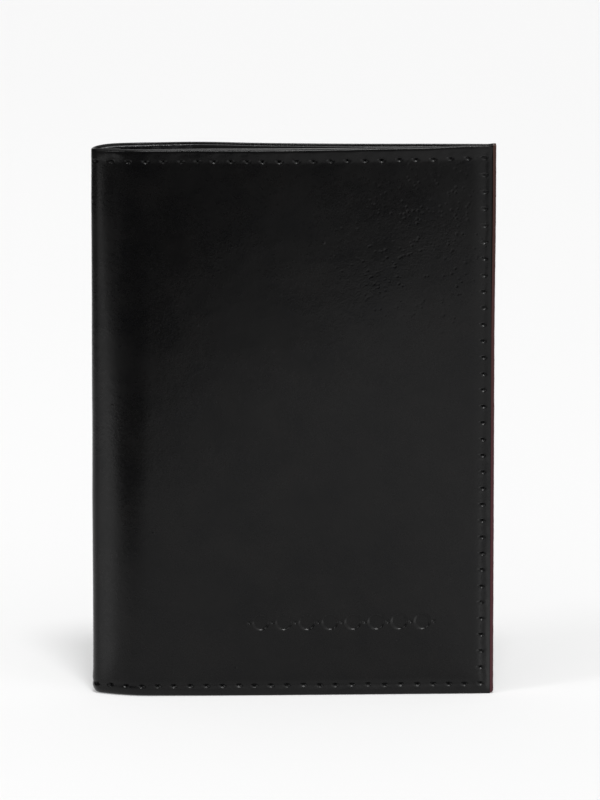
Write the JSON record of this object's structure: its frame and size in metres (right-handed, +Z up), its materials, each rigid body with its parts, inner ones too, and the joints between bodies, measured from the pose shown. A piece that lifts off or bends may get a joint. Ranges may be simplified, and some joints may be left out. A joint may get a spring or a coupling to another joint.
{
  "type": "leather document cover",
  "caption": "Upright leather document cover that folds open along a round spine, with sewn pocket flaps and stepped card slots inside.",
  "frame": {"origin": "middle of the closed cover's outline, on the surface that its bottom edges stand on", "axes": "+X from the spine to the fore edge, -Y out of the front cover, +Z up the cover"},
  "size_m": [0.1, 0.0126, 0.138],
  "materials": {
    "outer_leather": "smooth glazed black leather",
    "pocket_leather": "thin matt black leather",
    "lining_cloth": "fine black woven lining",
    "board": "raw grey board",
    "edge_paint": "burnished red-brown edge paint"
  },
  "bodies": {
    "rear_cover": {"rear_leather": "outer_leather", "rear_board": "board", "rear_lining": "lining_cloth", "rear_pocket": "pocket_leather", "card_slot_upper": "pocket_leather", "card_slot_lower": "pocket_leather", "rear_edge_bead": "edge_paint"},
    "spine": {"spine_leather": "outer_leather", "spine_strip": "board", "spine_lining": "lining_cloth"},
    "front_cover": {"front_leather": "outer_leather", "front_board": "board", "front_lining": "lining_cloth", "front_pocket": "pocket_leather", "front_edge_bead": "edge_paint"}
  },
  "joints": [
    {"name": "rear_fold", "type": "hinge", "parent": "rear_cover", "child": "spine", "pos_m": [-0.04842, 0.00287, 0], "axis": [0, 0, -1], "range_deg": [0, 92.69]},
    {"name": "front_fold", "type": "hinge", "parent": "spine", "child": "front_cover", "pos_m": [-0.04842, -0.00287, 0], "axis": [0, 0, -1], "range_deg": [0, 92.69]}
  ]
}
